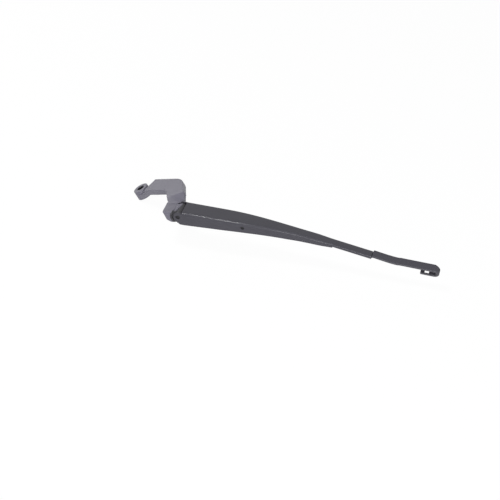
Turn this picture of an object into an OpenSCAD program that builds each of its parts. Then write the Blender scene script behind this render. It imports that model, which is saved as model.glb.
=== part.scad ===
// Windscreen wiper arm with a cranked mounting head, a folding channel and a flat arm rod with a hook.
// Origin: middle of the spindle bore.
// +X runs along the channel towards the hook, +Y along the hinge pin, +Z out of the channel's back.

/* [Mounting head] */
// Tilt of the spindle axis against the channel's back
spindle_tilt = 30; // [25:1:35]
// Diameter of the spindle boss
boss_d = 18.4; // [17:0.2:20]
// Height of the spindle boss
boss_h = 11; // [10:0.5:12]
// Diameter of the spindle bore
bore_d = 8; // [6:0.5:9]
// Width of the cranked bar
bar_w = 22; // [21:0.2:23]
// Thickness of the cranked bar
bar_t = 7.2; // [6.5:0.1:7.5]
// Height of the bar's top above the boss face
bar_rise = 3; // [2:0.5:4]

/* [Hinge] */
// Diameter of the hinge pin
hinge_pin_d = 5; // [4.5:0.1:5.2]
// Outside width of the channel over its two walls
channel_w = 22.6; // [22:0.2:24]
// Thickness of the channel's sheet
sheet_t = 1; // [0.9:0.1:1.2]

/* [Channel] */
// Height of the channel's back above the hinge axis
back_z = 6.7; // [6:0.1:7]
// Width of the channel where its taper ends
neck_w = 12.4; // [12:0.2:13]
// Radius of the downward bow of the channel's back
bow_r = 680; // [600:10:800]
// Width of the crimped end
crimp_w = 10.6; // [10:0.2:11]
// Height of the crimped end
crimp_h = 4.2; // [4:0.1:4.6]

/* [Arm rod] */
// Width of the flat rod
rod_w = 9; // [8:0.5:9]
// Thickness of the flat rod
rod_t = 3; // [2.5:0.5:3]
// Gap inside the hook
hook_gap = 5.8; // [5:0.1:6.5]
// Length of the hook's short leg, measured over the bend
hook_leg = 20.8; // [18:0.2:22]
// Twist of the rod between the channel and the hook
rod_twist = 19; // [0:1:20]

/* [Spring] */
// Outside diameter of the tension spring
spring_d = 7.4; // [6.4:0.2:7.4]
// Diameter of the spring wire
wire_d = 1.5; // [1.2:0.1:1.6]
// Number of turns
spring_turns = 20; // [12:1:22]

/* [Hidden] */
$fn = 48;
eps = 0.01;
sheet_black = "#2b2a2e";
cast_black = "#3a393f";
zinc = "#b9bcc0";

// Hinge axis in the part's frame
hinge = [77.4, -73.3, 33.3] + boss_h / 2 * [-sin(spindle_tilt), 0, cos(spindle_tilt)];

// Cranked bar, in the spindle's own plane
bar_start = 19.5;
bar_offset = 1.7;
bar_heading = -24;
bar_straight = 41;
elbow_r = 22;
elbow_turn = 44;
bend_y = -51.7;
bore_chamfer = 0.7;

// Hinge block of the head, measured from the hinge axis
block_near_y = -channel_w / 2;
block_far_y = channel_w / 2 + 0.8;
tongue_half = channel_w / 2 - 1.9;
hub_r = 5;
nose_gap = 0.8;
lift_r = 8.3;
lift_inner_r = 6.8;
lift_sector = [[0, 0], [12, 8], [0, 14], [-12, 9]];
edge_round = 1.3;
block_far = [[-20, -1.3], [-15.2, -8], [-8, -9], [1.5, -5.9], [0.9, -0.8], [0.3, 4.3]];
block_near = [[-17.2, 3.3], [-12.2, -5.9], [-8.3, -7.9], [1.5, -5.9], [-1.2, 0.4], [-3.9, 6.6]];
slot_half = 2.2;
link_slot = [[-8.4, -15], [-8.4, -4.5], [-7.2, -1], [-3.5, 0.4], [-0.2, -0.9], [1, -3.4], [5.2, 11],
             [15, 11], [15, -15]];

// Bushes
bush_flange_t = 0.6;
bush_flange_r = 4.6;
bush_r = 3.6;
bush_len = 6;
bush_fit = 0.05;

// Link and spring line, measured from the hinge axis
link_pin_at = [-3.5, -4.5];
link_pin_d = 3.5;
link_t = 2.5;
link_reach = 20;
link_drop = 6;
link_bar = 2.4;
link_eye_r = 3.2;
eye_hole_r = 1.5;
link_turn = 70.1;
anchor_at = [75, 0.6];
anchor_d = 4.2;
anchor_recess = 0.8;
spring_angle = atan2(anchor_at[1] - link_pin_at[1], anchor_at[0] - link_pin_at[0]);
spring_span = norm(anchor_at - link_pin_at) - link_reach;

// Channel, measured from the hinge axis
nose = [[-2.9, -5.3], [-4.3, -3.4], [-4.9, -1], [-4.8, 1.5], [-3.9, 4.2], [-2.9, 5.3], [-1.2, 6.2]];
nose_r = norm(nose[6]);
back_start = 4.3;
channel_end = 176;
bow_start = 60;
bow_end = 168;
taper_start = 50;
taper_end = 150;
neck_start = 155;
wall_depth = [[8, 15.4], [60, 12], [125, 9.1], [165, 5.9], [176, 4.7]];
station_step = 6;
crimp_end = 219.6;
flange_gap = 3;
pin_recess = 0.7;

// Rod
tang_w = crimp_w - 2 * sheet_t;
tang_h = crimp_h - 2 * sheet_t;
tang_start = 186;
twist_end = 250;
rod_rise = 2.2;
bend_start = [288.8, 0, -13.8];
rod_pitch = 1.2;
leg_slot = [4.8, 5.6];
leg_slot_from_tip = 4.5;
bend_slot_l = 5;
bend_slot_w = 3;
bend_slot_angle = 25;

module at_hinge() { translate(hinge) children(); }
module in_spindle() { rotate([0, -spindle_tilt, 0]) translate([0, 0, boss_h / 2]) children(); }

// Extrudes an outline drawn in X and Z from y0 to y1
module along_y(y0, y1) { translate([0, y1, 0]) rotate([90, 0, 0]) linear_extrude(y1 - y0) children(); }
module rod_y(r, y0, y1) { along_y(y0, y1) circle(r); }

// Smooth step from 0 to 1 between a and b
function ease(x, a, b) = let (u = min(1, max(0, (x - a) / (b - a)))) u * u * (3 - 2 * u);
function heading(a) = [cos(a), sin(a)];
function across(a) = [-sin(a), cos(a)];
function turn_x(p, a) = [p[0], p[1] * cos(a) - p[2] * sin(a), p[1] * sin(a) + p[2] * cos(a)];
function turn_y(p, a) = [p[0] * cos(a) + p[2] * sin(a), p[1], p[2] * cos(a) - p[0] * sin(a)];
function reverse(list) = [for (i = [len(list) - 1:-1:0]) list[i]];

// Closed solid through rings of points, each ring closed at its ends by strips between its two halves
module loft(rings) {
    n = len(rings[0]);
    last = (len(rings) - 1) * n;
    sides = [for (i = [0:n:last - n], j = [0:n - 1])
        let (k = (j + 1) % n, a = i + j, b = i + k, c = a + n, d = b + n)
        each [[d, b, a], [c, d, a]]];
    caps = [for (j = [0:n / 2 - 2]) let (a = j, b = j + 1, c = n - 2 - j, d = n - 1 - j)
        each [[a, b, c], [a, c, d], [last + c, last + b, last + a], [last + d, last + c, last + a]]];
    polyhedron([for (r = rings) each r], concat(sides, caps), convexity = 6);
}

// Plan of the cranked bar: a straight, an elbow and a straight cut off at the bend line
module bar_plan() {
    a0 = bar_heading;
    a1 = a0 - elbow_turn;
    p0 = bar_start * heading(a0) + bar_offset * across(a0);
    p1 = p0 + bar_straight * heading(a0);
    c = p1 - elbow_r * across(a0);
    function edge(side) = let (r = elbow_r + side * bar_w / 2,
        arc = [for (t = [0:4:elbow_turn]) c + r * across(a0 - t)], e = arc[len(arc) - 1])
        concat([p0 + side * bar_w / 2 * across(a0)], arc, [[e[0] + (bend_y - e[1]) / tan(a1), bend_y]]);
    polygon(concat(edge(1), reverse(edge(-1))));
}

function bend_x(side) = let (a1 = bar_heading - elbow_turn,
    p1 = (bar_start + bar_straight) * heading(bar_heading) + bar_offset * across(bar_heading),
    e = p1 - elbow_r * across(bar_heading) + (elbow_r + side * bar_w / 2) * across(a1))
    e[0] + (bend_y - e[1]) / tan(a1);

// Rings of the step down from the bar to the hinge block, drawn in the hinge's frame
function bar_end(drop, inset) = let (x0 = bend_x(-1) + inset, x1 = bend_x(1) - inset,
    low = bar_rise - bar_t + inset, top = bar_rise - inset)
    [for (p = [[x0, top], [x0, low], [(x0 + x1) / 2, low], [x1, low], [x1, (low + top) / 2], [x1, top]])
        turn_y([p[0], bend_y + drop, p[1] + boss_h / 2], -spindle_tilt) - hinge];
function block_ring(outline, y) = [for (p = outline) [p[0], y, p[1]]];

module mounting_head() {
    front = [for (p = block_near) p + edge_round * [p[0] < -6 ? 1 : 0, p[1] > 3 ? -1 : p[1] < -5 ? 1 : 0]];
    far = block_ring(block_far, block_far_y + 0.6);
    color(cast_black) difference() {
        union() {
            in_spindle() {
                translate([0, 0, -boss_h]) cylinder(d = boss_d, h = boss_h);
                translate([0, 0, bar_rise - bar_t]) linear_extrude(bar_t) bar_plan();
                hull() {
                    translate([0, 0, 0.8 - boss_h]) cylinder(d = boss_d - 0.8, h = boss_h + bar_rise - bar_t - 1.6);
                    rotate(bar_heading)
                        translate([bar_start + 0.5, bar_offset + 0.5 - bar_w / 2, bar_rise - bar_t - 0.01])
                            cube([5, bar_w - 1, 2]);
                }
            }
            difference() {
                at_hinge() loft(concat([bar_end(2, 0.05)],
                    [for (u = [0:0.2:0.9]) (1 - u) * bar_end(0, 0.05) + u * far],
                    [far, block_ring(block_near, block_near_y + edge_round), block_ring(front, block_near_y)]));
                at_hinge() {
                    rod_y(nose_r + nose_gap, block_near_y - 1, -tongue_half);
                    rod_y(nose_r + nose_gap, tongue_half, block_far_y);
                    along_y(block_near_y - 1, block_far_y) intersection() {
                        difference() {
                            circle(lift_r);
                            circle(lift_inner_r);
                        }
                        polygon(lift_sector);
                    }
                }
            }
            at_hinge() rod_y(hub_r, -tongue_half, tongue_half);
        }
        in_spindle() {
            translate([0, 0, -boss_h - 1]) cylinder(d = bore_d, h = boss_h + 2);
            translate([0, 0, -bore_chamfer])
                cylinder(d1 = bore_d, d2 = bore_d + 2 * bore_chamfer + 0.1, h = bore_chamfer + eps);
        }
        at_hinge() {
            rod_y(bush_r, -tongue_half - 1, tongue_half + 1);
            translate([link_pin_at[0], 0, link_pin_at[1]]) rod_y(link_pin_d / 2, 1.4 - tongue_half, tongue_half - 1.4);
            along_y(-slot_half, slot_half) polygon(link_slot);
        }
    }
}

module hinge_bush(side) {
    color("#d8d2c0") at_hinge() scale([1, side, 1]) difference() {
        union() {
            rod_y(bush_r, tongue_half - bush_len, tongue_half);
            rod_y(bush_flange_r, tongue_half, tongue_half + bush_flange_t);
        }
        rod_y(hinge_pin_d / 2 + bush_fit, tongue_half - bush_len - 1, tongue_half + 1);
    }
}

module hinge_pin() {
    half = channel_w / 2 - pin_recess;
    color(zinc) at_hinge() rod_y(hinge_pin_d / 2, -half, half);
}

module link_pin() {
    color(zinc) at_hinge() translate([link_pin_at[0], 0, link_pin_at[1]]) rod_y(link_pin_d / 2, 1.4 - tongue_half, tongue_half - 1.4);
}

// Flat C-shaped hook: round the link pin, under the hinge pin and up to the spring
module spring_link() {
    r = link_pin_d / 2 + 0.05;
    color(zinc) at_hinge() translate([link_pin_at[0], 0, link_pin_at[1]]) rotate([0, -spring_angle, 0])
        along_y(-link_t / 2, link_t / 2) difference() {
            union() {
                circle(r + link_bar);
                translate([-1.2, -link_drop - link_bar / 2]) square([link_reach, link_bar]);
                translate([-1.2, -link_drop]) square([link_bar + 0.6, link_drop - 1.5]);
                translate([link_reach - link_bar, -link_drop - link_bar / 2]) square([link_bar, link_drop + 1]);
                translate([link_reach, 0]) circle(link_eye_r);
            }
            circle(r);
            translate([link_reach, 0]) circle(eye_hole_r);
            for (a = [0:link_turn / 7:link_turn]) rotate(-spring_angle - a)
                translate([-link_pin_at[0], -link_pin_at[1]]) circle(hinge_pin_d / 2 + 0.2);
        }
}

// Wire swept along a path, its section carried along without twist
function unit(v) = v / norm(v);
function tangent(p, i) = unit(p[min(i + 1, len(p) - 1)] - p[max(i - 1, 0)]);
function carried(n, t) = unit(n - (n * t) * t);
module wire(path, r, first, sides = 6) {
    normals = [for (i = 0, n = carried(first, tangent(path, 0)); i < len(path);
        i = i + 1, n = i < len(path) ? carried(n, tangent(path, i)) : n) n];
    loft([for (i = [0:len(path) - 1]) let (t = tangent(path, i), n = normals[i], b = cross(t, n))
        [for (k = [0:sides - 1]) path[i] + r * (cos(360 * k / sides) * n + sin(360 * k / sides) * b)]]);
}

// Hook through the link's eye, the coil, and a hook round the anchor pin
module tension_spring() {
    coil_r = (spring_d - wire_d) / 2;
    eye_r = 3;
    pin_r = (anchor_d + wire_d) / 2 + 0.3;
    coil_start = 9;
    coil_end = spring_span - 7;
    per_turn = 12;
    steps = spring_turns * per_turn + per_turn / 4;
    eye_hook = [for (t = [200:-20:0]) [eye_r - eye_r * sin(t), -eye_r * cos(t), 0]];
    coil = [for (i = [0:steps]) let (a = 180 - 360 * i / per_turn)
        [coil_start + (coil_end - coil_start) * i / steps, coil_r * cos(a), coil_r * sin(a)]];
    pin_hook = [for (t = [0:20:200]) [spring_span + pin_r * sin(t), 0, pin_r * cos(t)]];
    color(zinc) at_hinge() translate([link_pin_at[0], 0, link_pin_at[1]]) rotate([0, -spring_angle, 0])
        translate([link_reach, 0, 0]) wire(concat(eye_hook, coil, pin_hook), wire_d / 2, [0, 0, 1]);
}

module spring_anchor_pin() {
    half = channel_width(anchor_at[0]) / 2 - anchor_recess;
    color(zinc) at_hinge() translate([anchor_at[0], 0, anchor_at[1]]) rod_y(anchor_d / 2, -half, half);
}

function channel_width(x) = channel_w - (channel_w - neck_w) * ease(x, taper_start, taper_end)
    - (neck_w - crimp_w) * ease(x, neck_start, channel_end);
function back_height(x) = let (u = min(max(x, bow_start), bow_end) - bow_start)
    back_z - u * u / (2 * bow_r) - (bow_end - bow_start) / bow_r * max(0, x - bow_end);
function back_line(x0, x1, drop) = [for (x = concat([x0], [for (q = [bow_start:station_step:bow_end]) q], [x1]))
    [x, back_height(x) - drop]];
function foot(x) = back_height(x) - lookup(x, wall_depth);

// Side view of the walls from the hinge nose to the crimped end
module channel_side() {
    polygon(concat(nose, back_line(back_start, crimp_end, 0),
        [[crimp_end, back_height(crimp_end) - crimp_h], [channel_end, back_height(channel_end) - crimp_h]],
        [for (x = [channel_end:-station_step:8]) [x, foot(x)]],
        [[2.5, foot(8)], [-0.8, -7.2]]));
}

// Side view of the space inside, open below the walls and closed below the crimped end
module channel_inside() {
    polygon(concat([[-20, 20], [back_start, 20]], back_line(back_start, crimp_end + 1, sheet_t),
        [[crimp_end + 1, back_height(crimp_end + 1) - crimp_h + sheet_t],
         [channel_end, back_height(channel_end) - crimp_h + sheet_t], [channel_end, -40], [-20, -40]]));
}

// Plan view of the channel, drawn in by an inset on both sides
module channel_plan(inset, x0, x1) {
    xs = concat([x0], [for (x = [taper_start:station_step / 2:channel_end + 3]) x], [x1]);
    polygon(concat([for (x = xs) [x, channel_width(x) / 2 - inset]],
        reverse([for (x = xs) [x, inset - channel_width(x) / 2]])));
}

module channel() {
    color(sheet_black) at_hinge() difference() {
        intersection() {
            along_y(-channel_w, channel_w) channel_side();
            translate([0, 0, -50]) linear_extrude(100) channel_plan(0, -15, crimp_end + 5);
        }
        intersection() {
            along_y(-channel_w, channel_w) channel_inside();
            translate([0, 0, -60]) linear_extrude(120) channel_plan(sheet_t, -25, crimp_end + 9);
        }
        translate([channel_end + 2, -flange_gap / 2, -30])
            cube([60, flange_gap, 30 + back_height(crimp_end) - crimp_h / 2]);
        rod_y(hinge_pin_d / 2, -channel_w, channel_w);
        translate([anchor_at[0], 0, anchor_at[1]]) rod_y(anchor_d / 2, -channel_w, channel_w);
    }
}

// Frame of the straight end of the rod: origin on its centre line where the hook's bend starts
function hook_point(p) = bend_start + turn_y(turn_x(p - [0, 0, rod_t / 2], rod_twist), rod_pitch);
module at_hook() {
    at_hinge() translate(bend_start) rotate([0, rod_pitch, 0]) rotate([rod_twist, 0, 0])
        translate([0, 0, -rod_t / 2]) children();
}

// Four corners of a flat bar at x, twisted about its centre line
function bar_ring(x, z, w, h, twist) = [for (c = [[1, 1], [-1, 1], [-1, -1], [1, -1]])
    [x, 0, z] + turn_x([0, c[0] * w / 2, c[1] * h / 2], twist)];

// Side view of the straight end, the hook's bend and its short leg
module hook_side(straight, bend_r, leg_l) {
    outer = bend_r + rod_t / 2;
    inner = bend_r - rod_t / 2;
    polygon(concat([[-straight, rod_t / 2]], [for (t = [0:10:180]) [outer * sin(t), outer * cos(t) - bend_r]],
        [[-leg_l, -bend_r - outer], [-leg_l, -bend_r - inner]],
        [for (t = [180:-10:0]) [inner * sin(t), inner * cos(t) - bend_r]], [[-straight, -rod_t / 2]]));
}

module arm_rod() {
    bend_r = (hook_gap + rod_t) / 2;
    straight = bend_start[0] - twist_end;
    leg_l = hook_leg - bend_r - rod_t / 2;
    tang_z = function (x) back_height(x) - crimp_h / 2;
    run = twist_end - crimp_end;
    joint_z = tang_z(crimp_end) + rod_rise;
    foot_z = hook_point([-straight, 0, 0])[2];
    joint_slope = -run * (bow_end - bow_start) / bow_r;
    foot_slope = -run * tan(rod_pitch);
    crank_z = function (u) joint_z + u * joint_slope
        + u * u * (3 * (foot_z - joint_z) - 2 * joint_slope - foot_slope)
        + u * u * u * (joint_slope + foot_slope - 2 * (foot_z - joint_z));
    tang = [for (x = [tang_start, crimp_end + eps]) bar_ring(x, tang_z(x), tang_w, tang_h, 0)];
    crank = [for (u = [0.05:0.1:0.96]) bar_ring(crimp_end + u * run, crank_z(u), rod_w, rod_t,
        rod_twist * (0.8 + 0.2 * ease(u, -0.5, 1)))];
    inside = [for (x = [0.5 - straight, 3 - straight])
        [for (p = bar_ring(x, 0, rod_w - 0.1, rod_t - 0.1, 0)) hook_point(p)]];
    color(sheet_black) difference() {
        union() {
            at_hinge() loft(concat(tang, crank, inside));
            at_hook() along_y(-rod_w / 2, rod_w / 2) hook_side(straight, bend_r, leg_l);
        }
        at_hook() translate([-leg_l + leg_slot_from_tip, -leg_slot[1] / 2, -2 * bend_r - rod_t])
            cube([leg_slot[0], leg_slot[1], 2 * rod_t]);
        at_hook() translate([0, 0, -bend_r]) rotate([0, 90 - bend_slot_angle, 0]) linear_extrude(2 * bend_r)
            polygon([for (t = [0:15:345]) [bend_slot_w / 2 * cos(t), bend_slot_l / 2 * sin(t)]]);
    }
}

mounting_head();
hinge_bush(-1);  // hinge_bush_near
hinge_bush(1);  // hinge_bush_far
hinge_pin();
link_pin();
spring_link();
tension_spring();
spring_anchor_pin();
channel();
arm_rod();
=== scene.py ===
import math

import bmesh
import bpy
from mathutils import Matrix, Vector


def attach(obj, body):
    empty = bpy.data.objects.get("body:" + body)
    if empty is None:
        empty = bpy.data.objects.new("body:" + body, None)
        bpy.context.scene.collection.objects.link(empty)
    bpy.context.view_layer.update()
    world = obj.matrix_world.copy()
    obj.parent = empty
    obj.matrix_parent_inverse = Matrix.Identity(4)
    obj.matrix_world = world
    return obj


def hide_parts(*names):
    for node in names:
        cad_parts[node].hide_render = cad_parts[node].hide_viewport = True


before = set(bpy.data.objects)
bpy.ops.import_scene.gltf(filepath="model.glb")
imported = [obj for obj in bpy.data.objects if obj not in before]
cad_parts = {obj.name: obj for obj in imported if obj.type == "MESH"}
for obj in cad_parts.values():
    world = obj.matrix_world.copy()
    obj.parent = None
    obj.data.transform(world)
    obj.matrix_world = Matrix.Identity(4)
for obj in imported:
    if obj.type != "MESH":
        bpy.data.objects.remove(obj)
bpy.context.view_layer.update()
scene = bpy.context.scene
mm = 0.001
weldDistance = 0.01 * mm
sheetCrease = 35  # degrees from which an edge of the bent steel pieces stays sharp


# Helpers for meshes

def settleOrder(bm):
    # Extruding lists new edges and faces in another order each run, so they are sorted by their corners
    bm.verts.index_update()
    count = len(bm.verts)

    def rank(item):
        corners = [v.index for v in item.verts]
        return min(corners) * count + max(corners)

    bm.edges.sort(key=rank)
    bm.faces.sort(key=rank)


def finishPiece(bm, name, body, node, smoothAngle=40):
    # Makes the mesh a piece that rides on its body and stands for the CAD node
    bmesh.ops.remove_doubles(bm, verts=bm.verts, dist=weldDistance)
    settleOrder(bm)
    bmesh.ops.recalc_face_normals(bm, faces=bm.faces)
    mesh = bpy.data.meshes.new(name)
    bm.to_mesh(mesh)
    bm.free()
    piece = bpy.data.objects.new(name, mesh)
    scene.collection.objects.link(piece)
    mesh.shade_smooth()
    mesh.set_sharp_from_angle(angle=math.radians(smoothAngle))
    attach(piece, body)
    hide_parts(node)
    return piece


def addOutline(bm, points):
    # A closed outline of single edges
    verts = [bm.verts.new(p) for p in points]
    edges = [bm.edges.new((v, verts[(i + 1) % len(verts)])) for i, v in enumerate(verts)]
    return verts, edges


def newVerts(made):
    return [g for g in made if isinstance(g, bmesh.types.BMVert)]


def ringEdges(ring):
    # Each edge once, in a fixed order
    return list(dict.fromkeys(e for v in ring for e in v.link_edges))


def extrudeOutline(bm, points, along):
    # Fills a closed outline and pulls the face out along a vector
    edges = addOutline(bm, points)[1]
    face = bmesh.ops.edgenet_fill(bm, edges=edges)["faces"]
    made = bmesh.ops.extrude_face_region(bm, geom=face)["geom"]
    bmesh.ops.translate(bm, verts=newVerts(made), vec=along)


def sweepProfiles(bm, profiles):
    # Extrudes the first outline, sets each new row on the next one, and returns both ends' edges
    verts, edges = addOutline(bm, profiles[0])
    firstEdges = list(edges)
    for points in profiles[1:]:
        made = bmesh.ops.extrude_edge_only(bm, edges=edges)["geom"]
        row = set(verts)
        place = {v: i for i, v in enumerate(verts)}
        nextRow = [None] * len(verts)
        for v in newVerts(made):
            for e in v.link_edges:
                other = e.other_vert(v)
                if other in row:
                    nextRow[place[other]] = v
        edges = [g for g in made if isinstance(g, bmesh.types.BMEdge)]
        edges = [e for e in edges if e.verts[0] not in row and e.verts[1] not in row]
        for v, point in zip(nextRow, points):
            v.co = point
        verts = nextRow
    return firstEdges, edges


def cutAway(piece, cutters, name):
    # Takes closed cutters away from a piece and keeps the result as its mesh
    settleOrder(cutters)
    bmesh.ops.recalc_face_normals(cutters, faces=cutters.faces)
    mesh = bpy.data.meshes.new(name)
    cutters.to_mesh(mesh)
    cutters.free()
    cutter = bpy.data.objects.new(name, mesh)
    scene.collection.objects.link(cutter)
    cut = piece.modifiers.new(name, "BOOLEAN")
    cut.object = cutter
    cut.operation = "DIFFERENCE"
    cut.solver = "EXACT"
    cut.use_self = True
    bpy.context.view_layer.update()
    shaped = bpy.data.meshes.new_from_object(piece.evaluated_get(bpy.context.evaluated_depsgraph_get()))
    piece.modifiers.clear()
    piece.data = shaped
    bpy.data.objects.remove(cutter)
    shaped.set_sharp_from_angle(angle=math.radians(sheetCrease))


def capEnds(bm, *loops):
    # Closes each loop of edges with a face
    for loop in loops:
        bmesh.ops.edgenet_fill(bm, edges=loop)


def anglesOf(first, last, step):
    # From degrees to radians, with the last one included where the step meets it
    return [math.radians(d) for d in range(first, last + (1 if step > 0 else -1), step)]


def quarter(y, z, radius, turn, step):
    # Quarter circle round a centre, with its first angle and its step in degrees
    angles = anglesOf(turn, turn + 90, step)
    return [(y + radius * math.cos(a), z + radius * math.sin(a)) for a in angles]


def ease(x, a, b):
    # Smooth step from 0 at a to 1 at b
    u = min(1.0, max(0.0, (x - a) / (b - a)))
    return u * u * (3 - 2 * u)


def lookUp(x, table):
    # Straight lines between the table's rows
    for (x0, y0), (x1, y1) in zip(table, table[1:]):
        if x <= x1:
            return y0 + (y1 - y0) * max(0.0, x - x0) / (x1 - x0)
    return table[-1][1]


# Everything on the arm is measured from the middle of the hinge. The bore leans 30 degrees from upright.

hinge = Vector((74.65, -73.3, 38.063))
boreAxis = Vector((-0.5, 0, 0.8660254))


def atHinge(x, y, z):
    return (hinge + Vector((x, y, z))) * mm


# Materials

def srgb(code):
    parts = [int(code[i:i + 2], 16) / 255 for i in (0, 2, 4)]
    linear = [c / 12.92 if c <= 0.04045 else ((c + 0.055) / 1.055) ** 2.4 for c in parts]
    return (*linear, 1.0)


def addNode(tree, kind, settings=None, inputs=None):
    node = tree.nodes.new(kind)
    for key, value in (settings or {}).items():
        setattr(node, key, value)
    for key, value in (inputs or {}).items():
        if isinstance(value, bpy.types.NodeSocket):
            tree.links.new(value, node.inputs[key])
        else:
            node.inputs[key].default_value = value
    return node


def fade(tree, value, start, ends):
    # 1 at the first end and 0 at the second, both in millimetres past the start
    full, none = [(start + end) * mm for end in ends]
    return addNode(tree, "ShaderNodeMapRange", {"clamp": True}, {
        "Value": value, "From Min": full, "From Max": none, "To Min": 1.0, "To Max": 0.0}).outputs["Result"]


def mathNode(tree, operation, *values):
    return addNode(tree, "ShaderNodeMath", {"operation": operation}, dict(enumerate(values))).outputs[0]


def vectorNode(tree, operation, *values):
    return addNode(tree, "ShaderNodeVectorMath", {"operation": operation}, dict(enumerate(values))).outputs


def mixColours(tree, factor, first, second):
    # In colour mode the colours are inputs 6 and 7, and the result is output 2
    return addNode(tree, "ShaderNodeMix", {"data_type": "RGBA"}, {
        "Factor": factor, 6: first, 7: second}).outputs[2]


def mixShaders(tree, factor, first, second):
    return addNode(tree, "ShaderNodeMixShader", inputs={0: factor, 1: first, 2: second}).outputs[0]


# Painted shade on the head, in millimetres: each pair is where the tint is full and where
# it ends. The painted shade's edge behind the joint crosses the head at a slant, given in x to each y.

shadeZones = {
    "bore": (4.4, 4.9), "slant": 0.185, "joint": (-1.2, -2.2), "farEnd": (11.6, 12.4),
    "slit": (9.0, 9.4), "slitEnd": (-8, -6),
}


def distanceFrom(tree, where, axis):
    return vectorNode(tree, "LENGTH", vectorNode(tree, "CROSS_PRODUCT", where, axis)["Vector"])["Value"]


def paintShade(tree, where, tint, shadeColour):
    # Painted shade: the bore is darkened inside, and so is the casting where the channel turns round it
    bore = fade(tree, distanceFrom(tree, where, boreAxis), 0, shadeZones["bore"])
    place = addNode(tree, "ShaderNodeSeparateXYZ", inputs={"Vector": where}).outputs
    slanted = mathNode(tree, "MULTIPLY_ADD", place["Y"], -shadeZones["slant"], place["X"])
    joint = fade(tree, slanted, hinge.x - shadeZones["slant"] * hinge.y, shadeZones["joint"])
    jointShade = mathNode(tree, "MULTIPLY", joint, fade(tree, place["Y"], hinge.y, shadeZones["farEnd"]))
    # Painted shade in the slit beside the channel's near nose too
    fromHinge = vectorNode(tree, "SUBTRACT", where, hinge * mm)["Vector"]
    rim = fade(tree, distanceFrom(tree, fromHinge, (0, 1, 0)), 0, shadeZones["slit"])
    slit = mathNode(tree, "MULTIPLY", rim, fade(tree, place["Y"], hinge.y, shadeZones["slitEnd"]))
    share = mathNode(tree, "MAXIMUM", bore, mathNode(tree, "MAXIMUM", jointShade, slit))
    return mixColours(tree, share, tint, srgb(shadeColour))


def coatedMaterial(name, look):
    # Soft clouds in the colour, and a fine grain in gloss and height
    material = bpy.data.materials.new(name)
    material.use_nodes = True
    tree = material.node_tree
    shader = tree.nodes["Principled BSDF"]
    where = addNode(tree, "ShaderNodeTexCoord").outputs["Object"]
    cloud = addNode(tree, "ShaderNodeTexNoise", inputs={
        "Vector": where, "Scale": 1 / (look["cloudMm"] * mm), "Detail": 4.0, "Roughness": 0.6})
    grain = addNode(tree, "ShaderNodeTexNoise", inputs={
        "Vector": where, "Scale": 1 / (look["grainMm"] * mm), "Detail": 3.0, "Roughness": 0.55})
    tint = mixColours(tree, cloud.outputs["Fac"], srgb(look["dark"]), srgb(look["light"]))
    # Painted shade in the bore and round the hinge, where the look gives its colour
    if "shadeColour" in look:
        tint = paintShade(tree, where, tint, look["shadeColour"])
    tree.links.new(tint, shader.inputs["Base Color"])
    gloss = addNode(tree, "ShaderNodeMapRange", inputs={
        "Value": grain.outputs["Fac"], "From Min": 0.3, "From Max": 0.7,
        "To Min": look["roughness"] - look["spread"], "To Max": look["roughness"] + look["spread"]})
    tree.links.new(gloss.outputs["Result"], shader.inputs["Roughness"])
    bump = addNode(tree, "ShaderNodeBump", inputs={
        "Height": grain.outputs["Fac"], "Strength": look["bump"], "Distance": look["depthMm"] * mm})
    tree.links.new(bump.outputs["Normal"], shader.inputs["Normal"])
    shader.inputs["Metallic"].default_value = look["metallic"]
    shader.inputs["IOR"].default_value = look.get("ior", 1.5)
    return material


# Die-cast zinc under satin black powder coat: soft sheen with a fine orange peel, and painted shade in the
# bore and round the hinge
castCoat = coatedMaterial("satin black powder coat on die casting", {
    "dark": "5a5863", "light": "62606b", "cloudMm": 14, "grainMm": 0.9, "roughness": 0.42, "spread": 0.05,
    "bump": 0.12, "depthMm": 0.03, "metallic": 0.0, "ior": 1.45, "shadeColour": "2a292d"})
# Folded steel under electrocoat: darker and smoother, with sharper highlights along the folds
sheetCoat = coatedMaterial("black electrocoat on sheet steel", {
    "dark": "3b3a40", "light": "424147", "cloudMm": 22, "grainMm": 0.5, "roughness": 0.18, "spread": 0.03,
    "bump": 0.12, "depthMm": 0.03, "metallic": 0.0, "ior": 1.3})
# Zinc-plated wire and pins: grey metal, slightly clouded, with the default IOR
zincPlate = coatedMaterial("zinc plated steel", {
    "dark": "8f9296", "light": "b4b7ba", "cloudMm": 5, "grainMm": 0.4, "roughness": 0.34, "spread": 0.08,
    "bump": 0.1, "depthMm": 0.02, "metallic": 1.0})
# Near-black steel on the hinge pin and the cross pin, a little dull: painted shade that darkens their
# recessed ends
pinShadeBlack = coatedMaterial("black oxide on steel", {
    "dark": "19191b", "light": "222225", "cloudMm": 4, "grainMm": 0.4, "roughness": 0.45, "spread": 0.05,
    "bump": 0.1, "depthMm": 0.02, "metallic": 0.0, "ior": 1.36})
# Moulded acetal bushes, coloured black: faintly waxy
acetal = coatedMaterial("moulded black acetal", {
    "dark": "28272a", "light": "2f2e31", "cloudMm": 6, "grainMm": 0.3, "roughness": 0.45, "spread": 0.04,
    "bump": 0.05, "depthMm": 0.02, "metallic": 0.0, "ior": 1.48})


def setMaterial(piece, material):
    piece.data.materials.clear()
    piece.data.materials.append(material)


# Mounting head: one casting, its edges and inner corners rounded as a die leaves them

head = {
    "voxel": 0.42, "smoothing": 10, "factor": 0.5,
    # The boss: reach from the frame's origin, then along the bore
    "bossReach": 12, "rimBelow": -5.2, "bossDrop": 1.0,
    # The hinge block, from the hinge
    "blockEnd": 13.5, "blockUnder": -5, "blockDrop": 1.3, "blockBehind": -11, "blockBack": 1.4,
    # The elbow: in x from the origin and in y from the hinge, then how even its normals are
    "elbowStart": 50, "elbowEnd": 12, "flat": 0.98, "scraping": 24,
}


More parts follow.
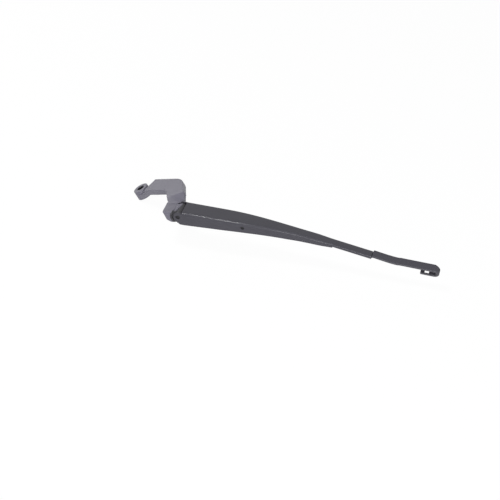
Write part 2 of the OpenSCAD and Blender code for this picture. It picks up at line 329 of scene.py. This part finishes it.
def makeHead():
    bm = bmesh.new()
    bm.from_mesh(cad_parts["mounting_head"].data)
    bmesh.ops.remove_doubles(bm, verts=bm.verts, dist=weldDistance)
    rim = [v for v in bm.verts
           if v.co.length < head["bossReach"] * mm and v.co.dot(boreAxis) < head["rimBelow"] * mm]
    bmesh.ops.translate(bm, verts=rim, vec=-head["bossDrop"] * mm * boreAxis)
    block = [(v, v.co / mm - hinge) for v in bm.verts if v.co.y < (hinge.y + head["blockEnd"]) * mm]
    under = [v for v, place in block if place.z < head["blockUnder"]]
    behind = [v for v, place in block if place.x < head["blockBehind"]]
    bmesh.ops.translate(bm, verts=under, vec=Vector((0, 0, -head["blockDrop"] * mm)))
    bmesh.ops.translate(bm, verts=behind, vec=Vector((-head["blockBack"] * mm, 0, 0)))
    piece = finishPiece(bm, "castHead", "head", "mounting_head")
    remesh = piece.modifiers.new("cast skin", "REMESH")
    remesh.mode = "VOXEL"
    remesh.voxel_size = head["voxel"] * mm
    remesh.use_smooth_shade = True
    soften = piece.modifiers.new("cast edges", "SMOOTH")
    soften.factor = head["factor"]
    soften.iterations = head["smoothing"]
    bpy.context.view_layer.update()
    mesh = bpy.data.meshes.new_from_object(piece.evaluated_get(bpy.context.evaluated_depsgraph_get()))
    # The voxels leave faint ribs on the elbow's sloping faces, which are scraped flat here
    scraped = bmesh.new()
    scraped.from_mesh(mesh)
    slopes = [v for v in scraped.verts
              if v.co.x > head["elbowStart"] * mm and v.co.y > (hinge.y + head["elbowEnd"]) * mm
              and all(f.normal.dot(v.normal) > head["flat"] for f in v.link_faces)]
    for _ in range(head["scraping"]):
        bmesh.ops.smooth_vert(scraped, verts=slopes, factor=head["factor"],
                              use_axis_x=True, use_axis_y=True, use_axis_z=True)
    scraped.to_mesh(mesh)
    scraped.free()
    piece.modifiers.clear()
    piece.data = mesh
    mesh.shade_smooth()
    setMaterial(piece, castCoat)


makeHead()
print("head cast")


# Channel: one sheet folded down both sides, tapering to a crimped end

channel = {
    "width": 22.6, "neckWidth": 12.4, "crimpWidth": 10.6, "sheet": 1.0,
    "start": 4.3, "end": 176, "step": 4, "taper": (50, 150), "neck": (155, 176),
    "backHeight": 6.7, "bowStart": 60, "bowEnd": 168, "bowRadius": 680,
    "farFold": 2.2, "nearFold": 2.6, "farBulge": 0.5,
    # Each wall's depth at some places along the arm
    "depths": [(8, 16.1), (60, 12.8), (125, 9.8), (165, 6.2), (176, 4.7)],
    "nose": ((-1.2, 6.2), (-2.9, 5.3), (-3.9, 4.2), (-4.8, 1.5), (-4.9, -1), (-4.3, -3.4), (-2.9, -5.3)),
    "chin": ((-0.8, -7.2), (0.8, -8.1)), "wallStart": 2.5, "noseLap": 9, "lapDrop": 2.2,
    "noseTop": ((0.4, 2.2), (-0.6, 0.5)),  # from the folds' start and down from the back
    "crimpEnd": 219.6, "crimpHeight": 4.2, "crimpRadius": 1.4, "flangeGap": 3, "flangeBend": 0.4,
    # Each row of the crimp: how far past the folds' end, and how far inside the sheet's outer face
    "crimpRows": ((-3, 0.08), (0.3, 0.03), (1, 0), (16, 0), (31, 0)),
    "hingeHole": 5, "anchorHole": 4.2, "anchorAt": (75, 0.6), "drillFrom": 6, "drillLength": 8,
    "plateInset": 0.01, "drillSides": 32,
}


def channelWidth(x):
    # Measured outside, from the hinge to the crimp
    c = channel
    return (c["width"] - (c["width"] - c["neckWidth"]) * ease(x, *c["taper"])
            - (c["neckWidth"] - c["crimpWidth"]) * ease(x, *c["neck"]))


def backHeight(x):
    # Flat at first, then bowed, then straight on at the slope that the bow ends with
    c = channel
    run = min(max(x, c["bowStart"]), c["bowEnd"]) - c["bowStart"]
    fall = (c["bowEnd"] - c["bowStart"]) / c["bowRadius"] * max(0, x - c["bowEnd"])
    return c["backHeight"] - run * run / (2 * c["bowRadius"]) - fall


def foot(x):
    # Height of the walls' lower edge
    return backHeight(x) - lookUp(x, channel["depths"])


def archPoints(x, inset, footZ):
    # From the far wall's foot over the back to the near wall's foot
    side = channelWidth(x) / 2 - inset
    top = backHeight(x) - inset
    narrowing = ease(x, *channel["neck"])
    farSide = side + channel["farBulge"] * (1 - narrowing)
    far, near = [r + (channel["crimpRadius"] - r) * narrowing - inset
                 for r in (channel["farFold"], channel["nearFold"])]
    points = [(farSide, footZ)]
    points += [(farSide, footZ + (top - far - footZ) * q) for q in (0.5, 0.97)]
    points += quarter(farSide - far, top - far, far, 0, 10)
    points += [(farSide - far - (farSide + side - far - near) * q, top) for q in (0.2, 0.4, 0.6, 0.8)]
    points += quarter(near - side, top - near, near, 90, 15)
    points += [(-side, footZ + (top - near - footZ) * q) for q in (0.97, 0.5)]
    points.append((-side, footZ))
    return [atHinge(x, y, z) for y, z in points]


def crimpPoints(x, inset):
    # The sheet closed round the rod, with a gap between the two flanges below
    half = channel["crimpWidth"] / 2 - inset
    radius = channel["crimpRadius"] - inset
    top = backHeight(x) - inset
    low = backHeight(x) - channel["crimpHeight"] + inset
    gap = channel["flangeGap"] / 2
    bend = half - radius - channel["flangeBend"]
    points = [(gap, low), (bend, low)]
    for side, height, turn in ((1, low + radius, -90), (1, top - radius, 0), (-1, top - radius, 90),
                               (-1, low + radius, 180)):
        points += quarter(side * (half - radius), height, radius, turn, 15)
    points += [(-bend, low), (-gap, low)]
    return [atHinge(x, y, z) for y, z in points]


def noseOutline():
    # Side view of the plate that carries the hinge pin, lapped behind the walls' ends
    c = channel
    points = [(c["noseLap"], c["backHeight"] - c["lapDrop"])]
    points += [(c["start"] + x, c["backHeight"] - drop) for x, drop in c["noseTop"]]
    points += [*c["nose"], *c["chin"]]
    points += [(c["wallStart"], foot(c["depths"][0][0])), (c["noseLap"], foot(c["noseLap"]))]
    return points


def addDrill(bm, x, z, radius, side):
    # Closed rod across the wall on one side
    c = channel
    rim = bmesh.ops.create_circle(bm, segments=c["drillSides"], radius=radius * mm)["verts"]
    bmesh.ops.rotate(bm, verts=rim, matrix=Matrix.Rotation(math.pi / 2, 3, "X"))
    bmesh.ops.translate(bm, verts=rim, vec=atHinge(x, side * c["drillFrom"], z))
    loop = ringEdges(rim)
    made = bmesh.ops.extrude_edge_only(bm, edges=loop)["geom"]
    far = newVerts(made)
    bmesh.ops.translate(bm, verts=far, vec=Vector((0, side * c["drillLength"] * mm, 0)))
    farLoop = [g for g in made if isinstance(g, bmesh.types.BMEdge) and all(v in far for v in g.verts)]
    capEnds(bm, loop, farLoop)


def makeChannel():
    c = channel
    bm = bmesh.new()
    stations = [c["start"]]
    while stations[-1] + c["step"] < c["end"]:
        stations.append(stations[-1] + c["step"])
    stations.append(c["end"])
    rows = [archPoints(x, 0, foot(x)) + archPoints(x, c["sheet"], foot(x))[::-1] for x in stations]
    capEnds(bm, *sweepProfiles(bm, rows))
    rows = [crimpPoints(c["end"] + x, inset) + crimpPoints(c["end"] + x, c["sheet"])[::-1]
            for x, inset in (*c["crimpRows"], (c["crimpEnd"] - c["end"], 0))]
    capEnds(bm, *sweepProfiles(bm, rows))
    # The nose plates lie just inside both faces of the sheet
    outside = c["width"] / 2 - c["plateInset"]
    thickness = c["sheet"] - 2 * c["plateInset"]
    for side in (1, -1):
        outline = [atHinge(x, side * outside, z) for x, z in noseOutline()]
        extrudeOutline(bm, outline, Vector((0, -side * thickness * mm, 0)))
    piece = finishPiece(bm, "foldedChannel", "arm", "channel", sheetCrease)
    drills = bmesh.new()
    for (x, z), width in (((0, 0), c["hingeHole"]), (c["anchorAt"], c["anchorHole"])):
        for side in (1, -1):
            addDrill(drills, x, z, width / 2, side)
    cutAway(piece, drills, "drills")
    setMaterial(piece, sheetCoat)


makeChannel()
print("channel folded")


# Rod: flat bar with rounded edges, joggled and twisted where it leaves the channel, bent to a hook

rod = {
    "width": 9.0, "thickness": 3.0, "edge": 0.9, "gap": 5.8, "leg": 20.8, "twist": 19.0, "pitch": 1.2,
    "bendStart": (288.8, 0, -13.8), "twistEnd": 250, "tangStart": 186, "tangWidth": 8.6, "tangHeight": 2.2,
    "tangEdge": 0.4, "rise": 2.2, "firstTwist": 0.8, "twistFrom": -0.5, "farTaper": 0.45, "tipBevel": 0.5,
    # Both holes: size along the bar, then across it
    "slot": (4.8, 5.6), "slotFromTip": 4.5, "eye": (3.0, 5.0), "eyeAngle": 25,
    "crankRows": 10, "bendRows": 18, "eyeSides": 24,
}


def barOutline(width, height, radius):
    points = []
    for side, up, turn in ((1, 1, 0), (-1, 1, 90), (-1, -1, 180), (1, -1, 270)):
        points += quarter(side * (width / 2 - radius), up * (height / 2 - radius), radius, turn, 18)
    return points


def atHook(x, y, z):
    # Frame of the straight end: on its centre line, where the bend starts
    turned = Matrix.Rotation(math.radians(rod["twist"]), 3, "X") @ Vector((x, y, z - rod["thickness"] / 2))
    tipped = Matrix.Rotation(math.radians(rod["pitch"]), 3, "Y") @ turned
    return (hinge + Vector(rod["bendStart"]) + tipped) * mm


def twistedRow(x, z, width, height, twist, radius):
    turn = Matrix.Rotation(math.radians(twist), 3, "X")
    centre = hinge + Vector((x, 0, z))
    return [(centre + turn @ Vector((0, p, q))) * mm for p, q in barOutline(width, height, radius)]


def makeRod():
    r = rod
    bendRadius = (r["gap"] + r["thickness"]) / 2
    straight = r["bendStart"][0] - r["twistEnd"]
    legLength = r["leg"] - bendRadius - r["thickness"] / 2
    crimpEnd = channel["crimpEnd"]
    outline = barOutline(r["width"], r["thickness"], r["edge"])

    def tangZ(x):
        return backHeight(x) - channel["crimpHeight"] / 2

    jointZ = tangZ(crimpEnd) + r["rise"]
    footZ = (atHook(-straight, 0, 0) / mm - hinge)[2]
    run = r["twistEnd"] - crimpEnd
    jointSlope = -run * (channel["bowEnd"] - channel["bowStart"]) / channel["bowRadius"]
    footSlope = -run * math.tan(math.radians(r["pitch"]))

    def crankZ(u):
        # A cubic that leaves the crimp and meets the straight end without a corner
        fall = footZ - jointZ
        return (jointZ + u * jointSlope + u ** 2 * (3 * fall - 2 * jointSlope - footSlope)
                + u ** 3 * (jointSlope + footSlope - 2 * fall))

    rows = [twistedRow(x, tangZ(x), r["tangWidth"], r["tangHeight"], 0, r["tangEdge"])
            for x in (r["tangStart"], crimpEnd)]
    for i in range(r["crankRows"]):
        u = (i + 0.5) / r["crankRows"]
        twist = r["twist"] * (r["firstTwist"] + (1 - r["firstTwist"]) * ease(u, r["twistFrom"], 1))
        place = crimpEnd + u * run
        rows.append(twistedRow(place, crankZ(u), r["width"], r["thickness"], twist, r["edge"]))
    # The straight end, the bend with its far corner drawn in, and the leg with a bevelled tip
    rows += [[atHook(x, p, q) for p, q in outline] for x in (1 - straight, -straight / 2, 0)]
    for i in range(1, r["bendRows"] + 1):
        a = math.pi * i / r["bendRows"]
        narrow = 1 - r["farTaper"] * math.sin(a)
        rows.append([atHook((bendRadius + q) * math.sin(a), p * narrow if p > 0 else p,
                            (bendRadius + q) * math.cos(a) - bendRadius) for p, q in outline])
    bevel = r["tipBevel"]
    tip = barOutline(r["width"] - 2 * bevel, r["thickness"] - 2 * bevel, r["edge"] - bevel)
    rows.append([atHook(bevel - legLength, p, -2 * bendRadius - q) for p, q in outline])
    rows.append([atHook(-legLength, p, -2 * bendRadius - q) for p, q in tip])
    bm = bmesh.new()
    capEnds(bm, *sweepProfiles(bm, rows))
    piece = finishPiece(bm, "hookRod", "arm", "arm_rod", sheetCrease)

    # The slot through the leg and the oval eye in the bend
    cutters = bmesh.new()
    low = -2 * bendRadius - r["thickness"]
    x0 = r["slotFromTip"] - legLength
    corners = ((x0, -1), (x0 + r["slot"][0], -1), (x0 + r["slot"][0], 1), (x0, 1))
    lift = atHook(0, 0, 2 * r["thickness"]) - atHook(0, 0, 0)
    extrudeOutline(cutters, [atHook(x, side * r["slot"][1] / 2, low) for x, side in corners], lift)
    a = math.radians(r["eyeAngle"])
    rim = []
    for i in range(r["eyeSides"]):
        t = 2 * math.pi * i / r["eyeSides"]
        p = r["eye"][0] / 2 * math.cos(t)
        q = r["eye"][1] / 2 * math.sin(t)
        rim.append((-p * math.sin(a), q, p * math.cos(a) - bendRadius))
    reach = atHook(2 * bendRadius * math.cos(a), 0, 2 * bendRadius * math.sin(a)) - atHook(0, 0, 0)
    extrudeOutline(cutters, [atHook(*place) for place in rim], reach)
    cutAway(piece, cutters, "hookHoles")
    setMaterial(piece, sheetCoat)


makeRod()
print("rod bent")


# Tension spring: round wire, wound and hooked at both ends

spring = {
    "linkPin": (-3.5, -4.5), "reach": 20, "coilRadius": 2.95, "wire": 1.5, "sides": 10, "turns": 20,
    "turnSteps": 20, "coilStart": 9, "coilEnd": 7, "hookTurn": 200, "hookStep": 15,
    "eyeRadius": 3.0, "eyeWire": 0.96, "eyeBack": 0.95, "pinRadius": 3.15, "pinLead": 4,
    "eyeLead": ((5, -2.6, 0.6), (7, -1.6, 1.8), (8.2, -0.6, 2.7)),
}


def makeSpring():
    s = spring
    begin, end = [Vector((x, 0, z)) for x, z in (s["linkPin"], channel["anchorAt"])]
    span = (end - begin).length - s["reach"]
    along = (end - begin).normalized()
    turn = Matrix.Rotation(-math.atan2(along.z, along.x), 4, "Y")
    bm = bmesh.new()
    wire = s["wire"] / 2
    coilLength = span - s["coilStart"] - s["coilEnd"]
    ring = bmesh.ops.create_circle(bm, segments=s["sides"], radius=wire)["verts"]
    bmesh.ops.rotate(bm, verts=ring, matrix=Matrix.Rotation(math.pi / 2, 3, "X"))
    bmesh.ops.translate(bm, verts=ring, vec=Vector((s["coilStart"], 0, s["coilRadius"])))
    loop = ringEdges(ring)
    steps = s["turns"] * s["turnSteps"]
    bmesh.ops.spin(bm, geom=ring + loop, cent=(0, 0, 0), axis=(1, 0, 0), angle=2 * math.pi * s["turns"],
                   steps=steps, dvec=Vector((coilLength / steps, 0, 0)), use_merge=False)
    # Both hooks are arcs drawn out to the coil. The eye is thinner and set back, which leaves room
    # for the link when the arm is lifted.
    eye = [(s["eyeRadius"] - s["eyeRadius"] * math.sin(t) - s["eyeBack"], -s["eyeRadius"] * math.cos(t), 0)
           for t in anglesOf(s["hookTurn"], 0, -s["hookStep"])]
    arcPoints = len(eye)
    eye += [*s["eyeLead"], (s["coilStart"], 0, s["coilRadius"])]
    hook = [(span - s["coilEnd"], 0, s["coilRadius"]), (span - s["pinLead"], 0, s["pinRadius"])]
    hook += [(span + s["pinRadius"] * math.sin(t), 0, s["pinRadius"] * math.cos(t))
             for t in anglesOf(0, s["hookTurn"], s["hookStep"])]
    # The first hook lies level and the second one upright
    for path, thin, level in ((eye, s["eyeWire"] / 2, True), (hook, wire, False)):
        path = [Vector(place) for place in path]
        rows = []
        for i, point in enumerate(path):
            ahead = (path[min(i + 1, len(path) - 1)] - path[max(i - 1, 0)]).normalized()
            side = ahead.cross(Vector((0, 0, 1))) if level else Vector((0, 1, 0))
            side.normalize()
            up = side.cross(ahead).normalized()
            half = thin + (wire - thin) * max(0, i + 1 - arcPoints) / (len(path) - arcPoints)
            rows.append([point + half * (math.cos(t) * side + math.sin(t) * up)
                         for t in (2 * math.pi * k / s["sides"] for k in range(s["sides"]))])
        capEnds(bm, *sweepProfiles(bm, rows))
    move = Matrix.Translation(hinge + begin + along * s["reach"]) @ turn
    bmesh.ops.transform(bm, matrix=Matrix.Scale(mm, 4) @ move, verts=bm.verts)
    piece = finishPiece(bm, "tensionSpring", "spring", "tension_spring", 60)
    setMaterial(piece, zincPlate)


makeSpring()
print("spring wound")


# CAD pieces that keep their shape get their finish here, and their sharp corners broken

corners = {"width": 0.25, "segments": 3, "fromAngle": 45}
finishes = {
    # The pins' near-black stands in for the shade in their recessed ends
    "hinge_pin": pinShadeBlack, "spring_anchor_pin": pinShadeBlack,
    "link_pin": zincPlate, "spring_link": zincPlate,
    "hinge_bush_near": acetal, "hinge_bush_far": acetal,
}
for nodeName, material in finishes.items():
    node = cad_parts[nodeName]
    setMaterial(node, material)
    rounded = node.modifiers.new("broken edges", "BEVEL")
    rounded.width = corners["width"] * mm
    rounded.segments = corners["segments"]
    rounded.limit_method = "ANGLE"
    rounded.angle_limit = math.radians(corners["fromAngle"])
print("small pieces finished")


# Floor, light and camera

studio = {
    "floorZ": -10.4, "floorMiddle": 150, "floorSize": 4000, "paper": "fbfbfb", "glow": 0.96,
    "worldLight": 0.24, "worldTint": "f6f8ff", "white": "ffffff", "aim": (150, -50, 20),
}
# Each lamp's place, power and size
lamps = {
    "softKey": ((-890, 405, 645), 5.5, 900),
    "edgeLight": ((-110, -404, 1117), 7.5, 190),
    "frontFill": ((600, -1300, 120), 22, 900),
    "rightFill": ((1350, -350, 450), 4, 900),
}
# Fitted to the photograph: 16 degrees to the right of square on, 38.5 degrees above
view = {
    "lens": 86.4, "sensor": 36, "right": (0.9599, 0.2802, 0.0058), "up": (-0.1789, 0.5967, 0.7822),
    "fromHinge": (373.2, -1018.1, 806.8),
}


def cameraOrGlossy(tree):
    # 1 where the camera, a reflection or a clear material looks, so that all see the white background
    path = addNode(tree, "ShaderNodeLightPath").outputs
    seen = mathNode(tree, "MAXIMUM", path["Is Camera Ray"], path["Is Glossy Ray"])
    return mathNode(tree, "MAXIMUM", seen, path["Is Transmission Ray"])


def makeFloor():
    bm = bmesh.new()
    bmesh.ops.create_grid(bm, x_segments=1, y_segments=1, size=studio["floorSize"] / 2 * mm)
    bmesh.ops.translate(bm, verts=bm.verts, vec=Vector((studio["floorMiddle"], 0, studio["floorZ"])) * mm)
    mesh = bpy.data.meshes.new("studioFloor")
    bm.to_mesh(mesh)
    bm.free()
    floor = bpy.data.objects.new("studioFloor", mesh)
    scene.collection.objects.link(floor)
    material = bpy.data.materials.new("white paper sweep")
    material.use_nodes = True
    tree = material.node_tree
    tree.nodes.remove(tree.nodes["Principled BSDF"])
    paper = addNode(tree, "ShaderNodeBsdfDiffuse", inputs={"Color": srgb(studio["paper"])})
    glow = addNode(tree, "ShaderNodeEmission", inputs={"Color": srgb(studio["white"]), "Strength": 1.0})
    # A small share stays paper to the camera too, which keeps the object's shadow
    share = mathNode(tree, "MULTIPLY", cameraOrGlossy(tree), studio["glow"])
    both = mixShaders(tree, share, paper.outputs[0], glow.outputs[0])
    tree.links.new(both, tree.nodes["Material Output"].inputs["Surface"])
    floor.data.materials.append(material)


def makeWorld():
    world = bpy.data.worlds.new("white studio")
    scene.world = world
    world.use_nodes = True
    tree = world.node_tree
    tree.nodes.remove(tree.nodes["Background"])
    soft = addNode(tree, "ShaderNodeBackground", inputs={
        "Color": srgb(studio["worldTint"]), "Strength": studio["worldLight"]})
    white = addNode(tree, "ShaderNodeBackground", inputs={"Color": srgb(studio["white"]), "Strength": 1.0})
    both = mixShaders(tree, cameraOrGlossy(tree), soft.outputs[0], white.outputs[0])
    tree.links.new(both, tree.nodes["World Output"].inputs["Surface"])


def makeLamp(name, place, power, size):
    data = bpy.data.lights.new(name, "AREA")
    data.energy = power
    data.shape = "SQUARE"
    data.size = size * mm
    lamp = bpy.data.objects.new(name, data)
    lamp.location = Vector(place) * mm
    aim = Vector(studio["aim"]) * mm - lamp.location
    lamp.rotation_euler = aim.to_track_quat("-Z", "Y").to_euler()
    scene.collection.objects.link(lamp)


def makeCamera():
    data = bpy.data.cameras.new("photoCamera")
    data.lens = view["lens"]
    data.sensor_width = view["sensor"]
    camera = bpy.data.objects.new("photoCamera", data)
    right = Vector(view["right"]).normalized()
    back = right.cross(Vector(view["up"])).normalized()
    pose = Matrix((right, back.cross(right), back)).transposed().to_4x4()
    pose.translation = atHinge(*view["fromHinge"])
    camera.matrix_world = pose
    scene.collection.objects.link(camera)
    scene.camera = camera


makeFloor()
makeWorld()
for lampName, (place, power, size) in lamps.items():
    makeLamp(lampName, place, power, size)
makeCamera()
scene.view_settings.view_transform = "Standard"
print("studio set")
